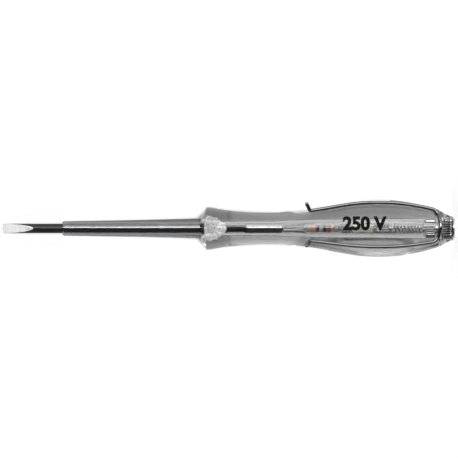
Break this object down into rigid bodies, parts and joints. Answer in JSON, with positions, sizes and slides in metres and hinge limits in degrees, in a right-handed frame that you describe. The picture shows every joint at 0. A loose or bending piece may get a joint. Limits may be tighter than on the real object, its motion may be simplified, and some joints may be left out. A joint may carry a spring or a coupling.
{
  "type": "voltage tester screwdriver",
  "caption": "Slim slotted screwdriver with a clear handle that holds a glow lamp, a resistor and a contact spring, with a wire pocket clip.",
  "frame": {"origin": "middle of the blade's tip edge, on the tool's axis", "axes": "+X along the tool from the blade's tip to the touch contact, +Z out of the side that carries the clip's open face and out of one ground face of the blade, +Y across the blade's width"},
  "size_m": [0.14, 0.0177, 0.0175],
  "materials": {
    "black_steel": "black oxide, bright on the ground faces",
    "clear_plastic": "clear smoke grey, polished, with frosted flats",
    "nickel": "nickel plated, ribbed",
    "spring_steel": "drawn wire",
    "clip_steel": "polished drawn wire",
    "lamp_glass": "clear",
    "seal_glass": "pressed",
    "electrode": "copper plated",
    "tinned_wire": "tinned",
    "tinned_caps": "tinned",
    "ferrule_brass": "satin",
    "resistor_ceramic": "cream lacquer"
  },
  "bodies": {
    "handle": {"handle_body": "clear_plastic", "blade_shaft": "black_steel", "insulating_sleeve": "clear_plastic"},
    "lamp_stack": {"lamp_glass": "lamp_glass", "lamp_front_seal": "seal_glass", "lamp_rear_seal": "seal_glass", "lamp_front_electrode": "electrode", "lamp_rear_electrode": "electrode", "lamp_front_lead": "tinned_wire", "lamp_rear_lead": "tinned_wire", "joint_ferrule": "ferrule_brass", "resistor_front_lead": "tinned_wire", "resistor_rear_lead": "tinned_wire", "resistor_front_cap": "tinned_caps", "resistor_rear_cap": "tinned_caps", "resistor_body": "resistor_ceramic", "spring_contact_disc": "tinned_caps"},
    "end_cap": {"end_cone": "clear_plastic", "touch_plug": "nickel", "contact_spring": "spring_steel"},
    "clip": {"wire_clip": "clip_steel"}
  },
  "joints": [
    {"name": "lamp_stack_float", "type": "slide", "parent": "handle", "child": "lamp_stack", "axis": [1, 0, 0], "range_m": [0, 0.001], "stiffness_N_per_m": 500, "springref_m": -0.003, "deforming": ["contact_spring"]},
    {"name": "end_cap_pull", "type": "slide", "parent": "handle", "child": "end_cap", "axis": [1, 0, 0], "range_m": [0, 0.016]},
    {"name": "clip_flex", "type": "hinge", "parent": "handle", "child": "clip", "pos_m": [0.1352, 0.00109, 0.0058], "axis": [0, 0.9829, -0.184], "range_deg": [0, 5], "stiffness_Nm_per_rad": 0.5, "springref_deg": -2.01}
  ]
}
